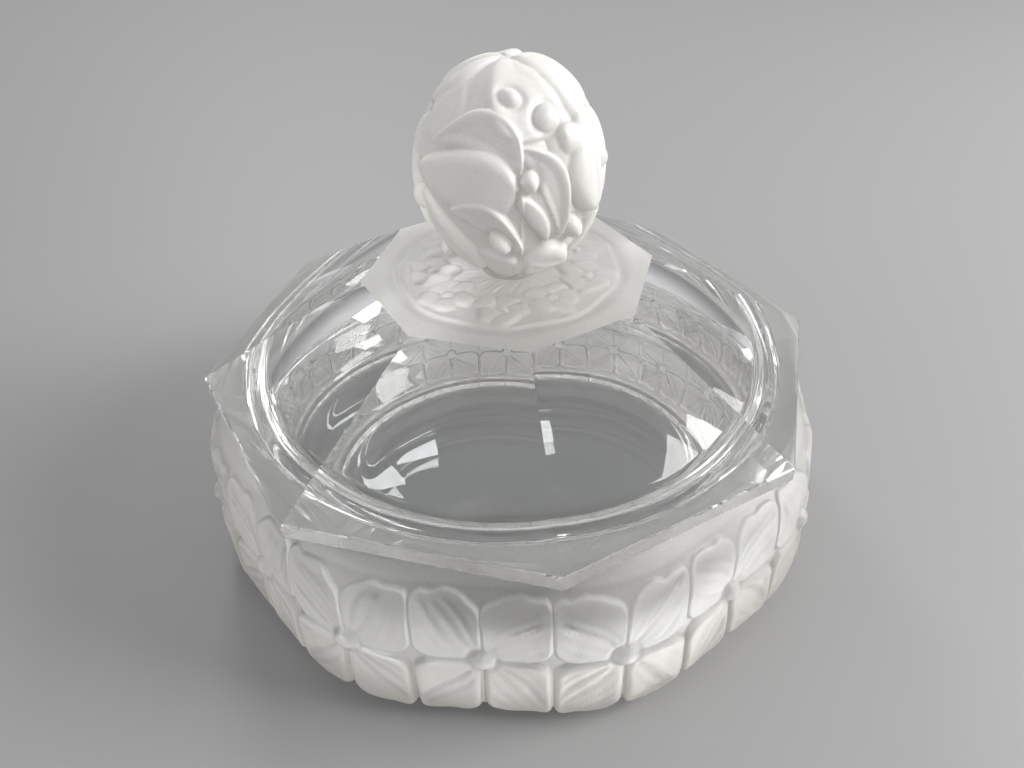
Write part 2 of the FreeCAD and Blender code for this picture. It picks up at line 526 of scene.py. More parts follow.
def closed_piece(
    name: str, stretches: Sequence[Stretch], materials: Sequence[bpy.types.Material]
) -> bpy.types.Object:
    """Makes one closed mesh from rings of points. Neighbouring rings are joined by faces, and the
    first and last rings by fans of triangles to their middles.

    Args:
        name: The piece's name.
        stretches: The rings, from the lower pole to the upper. A stretch may have a whole number of
            times the columns of the next.
        materials: One material for each Skin.

    Returns:
        The piece's object, at the origin.
    """
    rings = [ring for s in stretches for ring in s.rings]
    tall = [len(s.rings) for s in stretches]
    skin = np.repeat([s.skin.value for s in stretches], tall)
    smooth = np.repeat([s.smooth for s in stretches], tall)
    plain = [np.full(s.rings.shape[:2], PLAIN_RELIEF) for s in stretches]
    relief = [flat if s.relief is None else s.relief for s, flat in zip(stretches, plain)]
    counts = np.array([len(ring) for ring in rings])
    ends = np.cumsum(counts)
    numbers = [np.arange(end - count, end) for count, end in zip(counts, ends)]
    places = np.vstack(rings + [rings[0].mean(axis=0), rings[-1].mean(axis=0)])
    first, last = numbers[0], numbers[-1]
    lower_fan = np.stack([np.full(len(first), ends[-1]), np.roll(first, -1), first], axis=1)
    upper_fan = np.stack([np.full(len(last), ends[-1] + 1), last, np.roll(last, -1)], axis=1)
    walls = [faces_between(low, high) for low, high in zip(numbers, numbers[1:])]
    bands = [lower_fan, *walls, upper_fan]
    faces = [len(band) for band in bands]
    corners = np.concatenate([band.ravel() for band in bands])
    sizes = np.repeat([band.shape[1] for band in bands], faces)
    face_skin = np.repeat(np.append(skin, skin[-1]), faces)
    face_smooth = np.repeat(np.append(smooth, smooth[-1]), faces)

    mesh = bpy.data.meshes.new(name)
    mesh.vertices.add(len(places))
    mesh.vertices.foreach_set("co", places.astype(np.float32).ravel())
    mesh.loops.add(len(corners))
    mesh.loops.foreach_set("vertex_index", corners.astype(np.int32))
    mesh.polygons.add(len(sizes))
    mesh.polygons.foreach_set("loop_start", (np.cumsum(sizes) - sizes).astype(np.int32))
    mesh.polygons.foreach_set("material_index", face_skin.astype(np.int32))
    mesh.polygons.foreach_set("use_smooth", face_smooth.astype(bool))
    mesh.update(calc_edges=True)
    height = mesh.attributes.new("relief", "FLOAT", "POINT")
    shown = np.concatenate([r.ravel() for r in relief])
    height.data.foreach_set("value", np.append(shown, [shown[0], shown[-1]]).astype(np.float32))
    mesh.validate()
    for material in materials:
        mesh.materials.append(material)
    made = bpy.data.objects.new(name, mesh)
    bpy.context.scene.collection.objects.link(made)
    return made


def node_sizes(node: str) -> tuple[np.ndarray, np.ndarray]:
    """Lowest and highest corner of a CAD node, as arrays."""
    low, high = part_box(node)
    return np.array(low), np.array(high)


# ---------------------------------------------------------------------------------------------
# Bowl
# ---------------------------------------------------------------------------------------------


@dataclass(frozen=True)
class FlowerBand:
    """Sixteen flowers side by side round the bowl, each with four nearly square petals about a bead.

    Attributes:
        flowers: How many flowers go round.
        middle: Height of the flowers' middles above the table.
        pitch: Width of one flower.
        gap: Half of the groove between two petals.
        reach_up: Height of the upper petals, from the flower's middle.
        reach_down: Height of the lower petals.
        rise_up: How far the upper petals stand out.
        rise_down: How far the lower petals stand out.
        bead: Radius of the bead.
        bead_rise: Height of the bead.
        folds: Bearing from the petal's diagonal in degrees, and depth in millimetres, of each fold.
        seed: Seed for the small differences between the petals.
    """

    flowers: int = 16
    middle: float = 19.6 * MM
    pitch: float = 26.9 * MM
    gap: float = 0.10 * MM
    reach_up: float = 16.0 * MM
    reach_down: float = 15.8 * MM
    rise_up: float = 0.52 * MM
    rise_down: float = 1.50 * MM
    bead: float = 2.5 * MM
    bead_rise: float = 1.9 * MM
    folds: tuple[tuple[float, float], ...] = (
        (0.0, 0.46),
        (-15.0, 0.30),
        (16.0, 0.32),
        (-30.0, 0.20),
        (31.0, 0.20),
    )
    seed: int = 11

    def inset(self, p: np.ndarray, q: np.ndarray, lower: np.ndarray, chance: np.ndarray) -> np.ndarray:
        """How far each point lies inside its petal's outline: the signed distance to a rectangle with
        a radius of its own at each corner, less two sines that ruffle the petal's far end.

        Args:
            p: Distance from the flower's middle along the band, in millimetres.
            q: Distance above or below the flower's middle, in millimetres.
            lower: Where the petal is a lower one.
            chance: The petal's own size, lean, swell and wave, each from -1 to 1.

        Returns:
            Distances in millimetres, below 0 outside the petal.
        """
        size, lean, _, wave = chance
        gap, far = self.gap / MM, self.pitch / 2 / MM
        reach = np.where(lower, self.reach_down, self.reach_up) / MM
        half_p, half_q = (far - 2 * gap) / 2, (reach + 0.3 * size - gap) / 2
        x, y = p - gap - half_p, q - gap - half_q
        near_axis = np.where(lower, 3.4, 5.6)
        corner = np.where(x > 0, np.where(y > 0, 2.2, 3.8), np.where(y > 0, near_axis, 1.0))
        ruffle = 0.26 * np.sin(0.9 * x + 2.4 * wave) + 0.10 * np.sin(1.7 * x + 5.0 * lean)
        ruffle = ruffle * smooth_step(-3.0, 3.0, y)
        dx, dy = np.abs(x) - half_p + corner, np.abs(y) - half_q + corner
        beyond = np.hypot(np.maximum(dx, 0.0), np.maximum(dy, 0.0))
        outside = np.minimum(np.maximum(dx, dy), 0.0) + beyond
        return corner - outside - ruffle

    def fold_depth(
        self, p: np.ndarray, q: np.ndarray, lower: np.ndarray, inside: np.ndarray, chance: np.ndarray
    ) -> np.ndarray:
        """Depth of the folds. Each is a groove, steeper on one side, of the form
        exp(-(distance aside / width)^2). It leaves the bead at its own bearing and draws towards the
        petal's diagonal again, and it fades out at the bead and at the petal's edge.

        Args:
            p: Distance from the flower's middle along the band, in millimetres.
            q: Distance above or below the flower's middle, in millimetres.
            lower: Where the petal is a lower one.
            inside: Distance inside the petal's outline, in millimetres.
            chance: The petal's own size, lean, swell and wave, each from -1 to 1.

        Returns:
            Depths in millimetres.
        """
        _, lean, _, wave = chance
        reach = np.where(lower, self.reach_down, self.reach_up) / MM
        distance = np.hypot(p, q)
        bearing = np.degrees(np.arctan2(q, p) - np.arctan2(reach, self.pitch / 2 / MM))
        bearing = bearing - 11.0 * lean * smooth_step(3.0, 14.0, distance)
        total = np.zeros_like(p)
        for k, (offset, depth) in enumerate(self.folds):
            curve = offset * (1.5 - 1.1 * smooth_step(2.0, 19.0, distance))
            aside = np.radians(bearing - curve) * distance
            wide = (0.30 + 0.030 * distance) * np.where(aside * (offset + 1.0) > 0, 1.7, 0.7)
            strength = depth * (0.60 + 0.40 * np.sin(5.0 * wave + 2.4 * k))
            total += strength * np.exp(-((aside / wide) ** 2))
        fade = smooth_step(2.4, 5.0, distance) * smooth_step(0.6, 2.6, inside)
        return total * fade

    def height(self, angle: np.ndarray, up: np.ndarray) -> tuple[np.ndarray, np.ndarray]:
        """The relief's height. A petal is a rounded square with a quarter-round edge and a thin lip.
        It dips inside its edge, and folds spread over it from the bead. The lower petals stand proud
        of the upper ones, and a low shelf fills the groove between the two rows near the bead.

        Args:
            angle: Direction of each point round the jar.
            up: Height of each point above the table.

        Returns:
            The height of the relief in metres, and the same from 0 in a groove to 1 on a rim.
        """
        turn = angle / (2 * math.pi) * self.flowers
        flower = np.round(turn)
        across = (turn - flower) * self.pitch / MM
        over = (up - self.middle) / MM
        lower, left = over < 0, across < 0
        which = (flower.astype(int) % self.flowers) * 4 + lower * 2 + left
        chance = np.random.default_rng(self.seed).uniform(-1.0, 1.0, (4, 4 * self.flowers))[:, which]
        swell = chance[2]
        p, q = np.abs(across), np.abs(over)
        distance = np.hypot(p, q)
        inside = self.inset(p, q, lower, chance)
        folds = self.fold_depth(p, q, lower, inside, chance)

        shoulder = 1.0 - np.clip(inside / np.where(lower, 1.5, 0.5), 0.0, 1.0)
        edge = np.sqrt(1.0 - shoulder**2)
        lip = np.where(lower, 0.04, 0.08) * np.exp(-(((inside - 0.50) / 0.32) ** 2))
        dish = np.where(lower, 0.30, 0.26) * smooth_step(1.0, 5.0, inside)
        lift = 0.60 + 0.40 * smooth_step(1.5, 10.0, distance)
        rise = np.where(lower, self.rise_down, self.rise_up) / MM * (1.0 + 0.12 * swell)
        petal = edge * (rise * lift + lip - dish) - folds
        bead_radius = self.bead / MM
        bead = self.bead_rise / MM * np.sqrt(np.maximum(1.0 - (distance / bead_radius) ** 2, 0.0))
        collar = 0.30 * np.exp(-(((distance - bead_radius - 0.5) / 0.45) ** 2))
        shelf = 0.45 * smooth_step(1.6, 0.5, q) * smooth_step(3.4, 4.4, self.pitch / 2 / MM - p)
        height = np.maximum(np.maximum(petal, shelf) - collar, bead)
        # This mask feeds the material's painted shade: the folds and the collar round the bead are
        # weighted so that they are painted darker.
        shown = np.clip(0.15 + 0.55 * edge + 1.2 * lip - 1.5 * folds - collar, 0.0, 1.0)
        shown = np.where(bead > petal, 0.8, shown)
        plain = smooth_step(0.2, 1.6, over - self.reach_up / MM)
        return height * MM * (1.0 - plain), shown * (1.0 - plain) + PLAIN_RELIEF * plain


@dataclass
class Bowl:
    """The bowl: a soft-cornered octagon outside, frosted and set with flowers, with a ground top and
    a round polished well.

    Attributes:
        band: The flowers.
        body_radius: Centre to a corner of the body, under the flowers.
        soft_corner: Corner round of the outline, as a share of its half width.
        mouth_radius: Radius of the well at the top.
        floor_height: Height of the well's floor above the table.
        foot_radius: Radius of the foot on the table.
        columns: Points round the bowl.
        side_rows: Rings up the side.
        well_rows: Rings down the well.
        crowding: How far the points crowd towards the grooves between the petals, from 0 to 1.
    """

    band: FlowerBand = field(default_factory=FlowerBand)
    body_radius: float = 68.5 * MM
    soft_corner: float = 0.575
    mouth_radius: float = 57.0 * MM
    floor_height: float = 12.0 * MM
    foot_radius: float = 58.8 * MM
    columns: int = 32 * 32
    side_rows: int = 78
    well_rows: int = 36
    crowding: float = 0.42

    def outline(self, angle: np.ndarray) -> np.ndarray:
        """Radius of the soft-cornered octagon, as a share of its radius at a corner. On a flat side
        it is the half width over the cosine of the angle from the side's middle. On a round corner
        it is the far crossing of that direction with the corner's circle.

        Args:
            angle: Directions.

        Returns:
            An array like angle, 1 at each corner.
        """
        stretch = 1.0 / math.cos(HALF_SIDE) - 1.0
        half_width = 1.0 / (1.0 + stretch * (1.0 - self.soft_corner))
        corner = self.soft_corner * half_width
        centre = (half_width - corner) / math.cos(HALF_SIDE)
        from_side = np.abs((angle + HALF_SIDE) % (2 * HALF_SIDE) - HALF_SIDE)
        flat_end = math.atan((half_width - corner) * math.tan(HALF_SIDE) / half_width)
        from_corner = HALF_SIDE - from_side
        flat = half_width / np.cos(from_side)
        bent = centre * np.cos(from_corner) + np.sqrt(corner**2 - (centre * np.sin(from_corner)) ** 2)
        return np.where(from_side < flat_end, flat, bent)

    def rings(self, angle: np.ndarray, profile: np.ndarray, octagonal: np.ndarray) -> np.ndarray:
        """Rings at the profile's radii and heights.

        Args:
            angle: Direction of each column.
            profile: Radius and height of each ring.
            octagonal: For each ring, 0 for a circle and 1 for the bowl's outline.

        Returns:
            Points, rings by columns by 3.
        """
        shape = 1.0 + octagonal[:, None] * (self.outline(angle)[None, :] - 1.0)
        radius = profile[:, :1] * shape
        height = np.broadcast_to(profile[:, 1:2], radius.shape)
        return np.stack([radius * np.cos(angle), radius * np.sin(angle), height], axis=2)

    def foot_points(self, table: float) -> list[tuple[float, float]]:
        """Points that the foot's profile passes through.

        Args:
            table: Height of the piece's lowest face.

        Returns:
            Radius and height of each point, in metres.
        """
        return [
            (self.foot_radius, table + 0.15 * MM),
            (self.foot_radius + 0.8 * MM, table + 0.9 * MM),
            (self.foot_radius + 1.4 * MM, table + 2.0 * MM),
            (0.93 * self.body_radius, table + 2.3 * MM),
        ]

    def side_points(self, table: float, top: float) -> list[tuple[float, float]]:
        """Points that the side's profile passes through.

        Args:
            table: Height of the piece's lowest face.
            top: Height of the ground top.

        Returns:
            Radius and height of each point, in metres.
        """
        shares = (
            (0.955, 2.5),
            (0.985, 4.0),
            (0.998, 7.5),
            (1.0, 15.0),
            (1.0, 24.0),
            (0.996, 30.0),
            (0.984, 33.8),
            (0.960, 36.4),
            (0.936, 38.2),
        )
        points = [(share * self.body_radius, table + height * MM) for share, height in shares]
        return points + [(0.919 * self.body_radius, top - 0.3 * MM)]

    def well_points(self, top: float) -> list[tuple[float, float]]:
        """Points that the well's profile passes through.

        Args:
            top: Height of the ground top.

        Returns:
            Radius and height of each point, in metres.
        """
        wall = ((54.6, 27.5), (51.6, 21.5), (49.6, 17.6), (46.6, 13.9), (42.0, 12.3))
        return [
            (self.mouth_radius, top - 0.4 * MM),
            (self.mouth_radius, top - 3.4 * MM),
            (self.mouth_radius - 0.2 * MM, top - 7.0 * MM),
            *[(radius * MM, height * MM) for radius, height in wall],
            *[(radius * MM, self.floor_height) for radius in (36.0, 24.0, 12.0, 3.0)],
        ]

    def build(self, frosted: bpy.types.Material, polished: bpy.types.Material) -> bpy.types.Object:
        """Makes the bowl and puts it in the CAD bowl's place.

        Args:
            frosted: Finish of the outside and the top.
            polished: Finish of the well and the base.

        Returns:
            The bowl.
        """
        low, high = node_sizes("bowl")
        top = high[2] - AIR_GAP
        body = self.body_radius
        petal = 1.0 / (2 * self.band.flowers)
        angle = 2 * math.pi * bunched(self.columns + 1, petal, 0.0, self.crowding)[:-1]
        sparse = angle[::4]

        base_shares = (0.12, 0.35, 0.6, 0.8, 0.93, 0.985)
        base_profile = np.array([(share * self.foot_radius, low[2]) for share in base_shares])
        base = self.rings(sparse, base_profile, np.zeros(len(base_profile)))

        foot_share = np.linspace(0.0, 1.0, 5)
        foot_profile = flowing_curve(self.foot_points(low[2]), foot_share)
        foot = self.rings(angle, foot_profile, foot_share**2)

        side_share = bunched(self.side_rows, 0.41, 0.045, self.crowding)
        side_profile = flowing_curve(self.side_points(low[2], top), side_share)
        side = self.rings(angle, side_profile, np.ones(self.side_rows))
        height, relief = self.band.height(np.broadcast_to(angle, side.shape[:2]), side[:, :, 2])
        side = side + grid_normals(side) * height[:, :, None]

        rim = self.rings(angle, np.array([(0.915 * body, top)]), np.ones(1))
        rim_radii = (0.895 * body, 0.86 * body, self.mouth_radius + 0.4 * MM)
        rim_profile = np.array([(radius, top) for radius in rim_radii])
        rim_inside = self.rings(sparse, rim_profile, np.array([0.8, 0.35, 0.0]))

        well_profile = flowing_curve(self.well_points(top), np.linspace(0.0, 1.0, self.well_rows))
        well = self.rings(sparse, well_profile, np.zeros(self.well_rows))

        piece = closed_piece(
            "frosted_bowl",
            [
                Stretch(base, Skin.POLISHED, smooth=False),
                Stretch(foot, Skin.FROSTED),
                Stretch(side, Skin.FROSTED, relief=relief),
                Stretch(rim, Skin.FROSTED, smooth=False),
                Stretch(rim_inside, Skin.FROSTED, smooth=False),
                Stretch(well, Skin.POLISHED),
            ],
            [frosted, polished],
        )
        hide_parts("bowl")
        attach(piece, "bowl_body")
        return piece


# ---------------------------------------------------------------------------------------------
# Lid
# ---------------------------------------------------------------------------------------------


@dataclass
class Lid:
    """The lid: eight flat polished facets between an upright rim edge and a frosted platform, over a
    round flange and a shallow dome.

    Attributes:
        rim_edge: Height of the upright edge.
        rise: Height of the platform above the upright edge.
        platform: Corner radius of the platform, as a share of the lid's.
        ridge: Width of the worn flat along each ridge.
        bevel: Width of the worn flat along the upright edge.
        per_side: Points along each side.
        flange_radius: Outer radius of the flange.
        flange_width: Thickness of the flange's wall.
        flange_depth: How far the flange reaches into the bowl.
        dome_top: Height of the dome's top above the table.
        disc: Radius of the low disc of blossoms on the platform.
        blossoms: How many blossoms the disc has.
        seed: Seed for the small differences between the blossoms.
    """

    rim_edge: float = 3.4 * MM
    rise: float = 20.6 * MM
    platform: float = 0.46
    ridge: float = 0.22 * MM
    bevel: float = 0.3 * MM
    per_side: int = 44
    flange_radius: float = 56.2 * MM
    flange_width: float = 4.6 * MM
    flange_depth: float = 4.0 * MM
    dome_top: float = 56.4 * MM
    disc: float = 24.1 * MM
    blossoms: int = 9
    seed: int = 5

    def octagon(self, corner: float, height: float) -> np.ndarray:
        """One ring: a straight-sided octagon whose corners are cut back by a narrow flat.

        Args:
            corner: Centre to a corner, before it is cut back.
            height: Height above the table.

        Returns:
            Points, columns by 3.
        """
        corners = np.arange(SIDES) * 2 * HALF_SIDE + HALF_SIDE + LID_TURN
        points = corner * np.stack([np.cos(corners), np.sin(corners)], axis=1)
        following = np.roll(points, -1, axis=0)
        along = following - points
        cut = along / np.linalg.norm(along, axis=1, keepdims=True) * self.ridge / 2
        start, end = points + cut, following - cut
        share = np.linspace(0.0, 1.0, self.per_side)[None, :, None]
        flat = (start[:, None] * (1.0 - share) + end[:, None] * share).reshape(-1, 2)
        return np.column_stack([flat, np.full(len(flat), height)])

    def circle(self, radius: float, height: float) -> np.ndarray:
        """One round ring whose columns have the directions of the octagon's."""
        ring = self.octagon(1.0, 0.0)
        return round_ring((0.0, 0.0), radius, np.arctan2(ring[:, 1], ring[:, 0]), height)

    def blossom_height(self, x: np.ndarray, y: np.ndarray) -> tuple[np.ndarray, np.ndarray]:
        """Relief of the low disc on the platform: a close wreath of five-petalled blossoms inside a
        thin lip. Each petal is a dimpled dome about the blossom's seed, and fine rays lie inside the
        wreath. Two slow waves shift the whole pattern a little, so that no blossom is regular.

        Args:
            x: Places across, in metres.
            y: Places across, in metres.

        Returns:
            Height in metres, and the same from 0 to 1.
        """
        x, y = x / MM, y / MM
        rim_angle, rim_radius = np.arctan2(y, x) - LID_TURN, np.hypot(x, y)
        shift_x = 0.8 * np.sin(0.42 * y + 0.6) + 0.3 * np.sin(1.1 * y)
        shift_y = 0.8 * np.sin(0.38 * x + 2.0) + 0.3 * np.sin(0.9 * x)
        x, y = x + shift_x, y + shift_y
        radius, angle = np.hypot(x, y), np.arctan2(y, x) - LID_TURN
        count = self.blossoms
        turn = angle / (2 * math.pi) * count
        nearest = np.round(turn)
        which = nearest.astype(int) % count
        size, swing, shift = np.random.default_rng(self.seed).uniform(-1.0, 1.0, (3, count))[:, which]
        ring = 16.4 + 0.4 * shift
        aside = (turn - nearest) * 2 * math.pi / count
        across, out = radius * np.sin(aside), radius * np.cos(aside) - ring
        away, bearing = np.hypot(across, out), np.arctan2(across, out) + swing
        fifth = 2 * math.pi / 5
        turned = (bearing + fifth / 2) % fifth - fifth / 2
        scale = 1.24 + 0.10 * size
        petal_aside, petal_out = away * np.sin(turned) * 0.92, away * np.cos(turned) - 2.9 * scale
        from_petal = np.hypot(petal_aside, petal_out) / (2.15 * scale)
        dome = np.maximum(1.0 - from_petal**2, 0.0) ** 0.7
        dimple = 0.20 * np.exp(-((from_petal / 0.45) ** 2))
        seed = 0.80 * np.maximum(1.0 - (away / 1.3) ** 2, 0.0) ** 0.6
        wreath = np.maximum(0.80 * dome - dimple * (dome > 0), seed)
        from_rim = self.disc / MM * (0.985 + 0.015 * np.cos(count * rim_angle)) - rim_radius
        ground = 0.45 * smooth_step(0.0, 0.8, from_rim)
        lip = 0.10 * np.exp(-(((from_rim - 0.9) / 0.5) ** 2))
        rays = 0.10 * (0.5 + 0.5 * np.cos(4 * count * angle)) * np.exp(-(((radius - 8.6) / 1.6) ** 2))
        height = ground + lip + rays + wreath
        return height * MM, np.clip(0.30 + 0.5 * height, 0.0, 1.0)

    def dome_rings(self, seat: float) -> np.ndarray:
        """The dome: rings of the sphere through its top and its foot, at equal steps of radius.

        Args:
            seat: Height of the lid's underside above the table.

        Returns:
            Points, rings by columns by 3.
        """
        inner = self.flange_radius - self.flange_width
        sagitta = self.dome_top - seat
        sphere = (inner**2 + sagitta**2) / (2 * sagitta)
        radii = inner * np.linspace(0.03, 1.0, 40)
        heights = self.dome_top - sphere + np.sqrt(sphere**2 - radii**2)
        return np.stack([self.circle(r, z) for r, z in zip(radii, heights)])

    def flange_rings(self, bottom: float, seat: float) -> np.ndarray:
        """The flange: a smooth profile down its inside, round its foot and up its outside.

        Args:
            bottom: Height of the flange's foot above the table.
            seat: Height of the lid's underside above the table.

        Returns:
            Points, rings by columns by 3.
        """
        inner, outer = self.flange_radius - self.flange_width, self.flange_radius
        points = [
            (inner + 0.15 * MM, seat - 0.8 * MM),
            (inner + 0.15 * MM, seat - 2.4 * MM),
            (inner + 0.5 * MM, seat - 3.6 * MM),
            (inner + 1.3 * MM, bottom),
            (outer - 1.3 * MM, bottom),
            (outer - 0.4 * MM, seat - 3.6 * MM),
            (outer, seat - 2.8 * MM),
            (outer, seat - 0.3 * MM),
        ]
        profile = flowing_curve(points, np.linspace(0.0, 1.0, 26))
        return np.stack([self.circle(r, z) for r, z in profile])

    def build(
        self, frosted: bpy.types.Material, polished: bpy.types.Material, satin: bpy.types.Material
    ) -> bpy.types.Object:
        """Makes the lid and puts it in the CAD lid's place.

        Args:
            frosted: Finish of the platform.
            polished: Finish of the facets, the underside, the flange and the dome.
            satin: Finish of the upright edge.

        Returns:
            The lid.
        """
        low, high = node_sizes("lid")
        corner = high[0] / math.cos(HALF_SIDE + LID_TURN)
        seat = low[2] + self.flange_depth
        rim = seat + self.rim_edge
        platform = rim + self.rise
        dome = self.dome_rings(seat)
        flange = self.flange_rings(low[2], seat)

        under_outer = self.octagon(corner - self.bevel, seat)
        under_inner = self.circle(self.flange_radius + 0.4 * MM, seat)
        under = between(under_inner, under_outer, np.linspace(0.0, 1.0, 5))
        edge = np.stack([self.octagon(corner, seat + self.bevel), self.octagon(corner, rim - self.bevel)])
        facet_low = self.octagon(corner - self.bevel, rim)
        facet_high = self.octagon(self.platform * corner, platform)
        facets = between(facet_low, facet_high, np.linspace(0.0, 1.0, 9))

        disc_rim = self.disc + 0.8 * MM
        border = between(facet_high, self.circle(disc_rim, platform), np.array([0.012, 0.35, 0.7]))
        disc = np.stack([self.circle(r, platform) for r in disc_rim * np.linspace(1.0, 0.02, 72)])
        height, relief = self.blossom_height(disc[:, :, 0], disc[:, :, 1])
        disc[:, :, 2] += height

        piece = closed_piece(
            "faceted_lid",
            [
                Stretch(dome, Skin.POLISHED),
                Stretch(flange, Skin.POLISHED),
                Stretch(under, Skin.POLISHED, smooth=False),
                Stretch(edge, Skin.SATIN, smooth=False),
                Stretch(facets, Skin.POLISHED, smooth=False),
                Stretch(border, Skin.FROSTED, smooth=False),
                Stretch(disc, Skin.FROSTED, relief=relief),
            ],
            [frosted, polished, satin],
        )
        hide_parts("lid")
        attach(piece, "lid_body")
        return piece


# ---------------------------------------------------------------------------------------------
# Knob
# ---------------------------------------------------------------------------------------------


@dataclass(frozen=True)
class Petal:
    """One petal laid on the knob, as an arc from its root to its tip.

    Attributes:
        root: Direction from the front and latitude of the root, in degrees.
        tip: The same for the tip.
        width: Greatest half width, in degrees.
        bend: How far the petal's middle bows to its left, in degrees.
        tilt: 1 if its left edge stands proud and its right edge sinks in, -1 for the other way.
        rise: Height of its proud edge, in millimetres.
        taper: Above 0, widest near the tip; below 0, widest near the root.
        hollow: Depth of the hollow inside its edge, in millimetres.
        rib: Depth of the fold along its middle, in millimetres. Below 0 it is a raised rib.
        point: 0.5 for round ends, and 1 for pointed ones.
    """

    root: tuple[float, float]
    tip: tuple[float, float]
    width: float
    bend: float = 0.0
    tilt: float = 0.0
    rise: float = 2.0
    taper: float = 0.2
    hollow: float = 0.0
    rib: float = 0.0
    point: float = 0.5


@dataclass(frozen=True)
class Bud:
    """A small round bud on the knob.

    Attributes:
        place: Direction from the front and latitude, in degrees.
        radius: Radius, in degrees.
        rise: Height, in millimetres.
    """

    place: tuple[float, float]
    radius: float = 7.0
    rise: float = 1.5


def on_ball(around: np.ndarray, up: np.ndarray) -> np.ndarray:
    """Unit vectors (cos up cos around, cos up sin around, sin up): X points to the front, Y to the
    right of it and Z up.

    Args:
        around: Directions from the front, in radians.
        up: Latitudes, in radians.

    Returns:
        An array like around, by 3.
    """
    return np.stack([np.cos(up) * np.cos(around), np.cos(up) * np.sin(around), np.sin(up)], axis=-1)


def pointing(place: tuple[float, float], turn: float = 0.0) -> np.ndarray:
    """The unit vector at a direction from the front and a latitude, in degrees, turned on by turn."""
    return on_ball(np.radians(place[0] + turn), np.radians(place[1]))


HALF_PATTERN: tuple[Petal, ...] = (
    Petal((150, 70), (-60, 22), 26, bend=2, tilt=-0.6, rise=2.6, taper=0.25, hollow=0.6, rib=-0.3),
    Petal((-8, 88), (2, 33), 23, bend=4, tilt=-0.7, rise=3.4, taper=0.35, hollow=0.9),
    Petal((40, 88), (46, 38), 12, bend=6, tilt=0.9, rise=3.2, taper=0.2),
    Petal((78, 86), (72, 36), 15, bend=6, tilt=0.7, rise=3.3, taper=0.2, rib=0.4),
    Petal((-66, 20), (6, 21), 13, bend=11, tilt=1.0, rise=3.5, taper=0.35, hollow=1.3),
    Petal((-76, 6), (3, 12), 18, bend=-3, tilt=0.4, rise=3.5, taper=0.35, hollow=0.3),
    Petal((0, 31), (24, -18), 11, bend=14, tilt=1.0, rise=3.5, taper=0.0, hollow=1.2),
    Petal((4, 8), (14, -20), 8, bend=3, tilt=0.2, rise=2.8, taper=-0.1, hollow=0.3),
    Petal((56, 48), (62, -16), 18, bend=-4, tilt=-0.3, rise=3.6, taper=0.1, rib=0.3),
    Petal((28, 37), (54, 29), 8, bend=-3, tilt=0.3, rise=3.4, taper=-0.1),
    Petal((-44, -8), (-5, -27), 12, bend=12, tilt=0.9, rise=3.4, taper=0.1, hollow=0.9),
    Petal((-70, -4), (-34, -50), 20, bend=-4, tilt=0.6, rise=3.0, taper=0.1, hollow=0.4),
    Petal((-5, -29), (50, -40), 18, bend=-2, tilt=0.3, rise=4.1, taper=-0.35, hollow=0.6, rib=-0.25,
          point=0.95),
    Petal((-34, -28), (-14, -60), 14, bend=6, tilt=0.8, rise=3.1, taper=0.1, hollow=0.4),
    Petal((86, 34), (90, -34), 19, bend=-8, tilt=0.5, rise=3.3, taper=0.1, rib=0.4),
    Petal((104, 62), (106, 10), 18, bend=7, tilt=-0.7, rise=3.0, taper=0.2, hollow=0.6),
    Petal((62, -12), (82, -58), 17, bend=5, tilt=-0.5, rise=3.2, taper=0.1),
    Petal((30, -42), (28, -70), 14, bend=3, tilt=0.3, rise=2.7, taper=0.1),
)
HALF_BUDS: tuple[Bud, ...] = (
    Bud((-8, 56), 5.5, 0.7),
    Bud((20, 45), 7.0, 0.5),
    Bud((11, 15), 5.5, 0.9),
    Bud((-18, -20), 6.5, 1.1),
    Bud((37, -16), 6.5, 1.0),
    Bud((-78, -10), 7.0, 0.9),
    Bud((74, 10), 6.5, 0.8),
    Bud((98, -44), 6.0, 0.8),
)


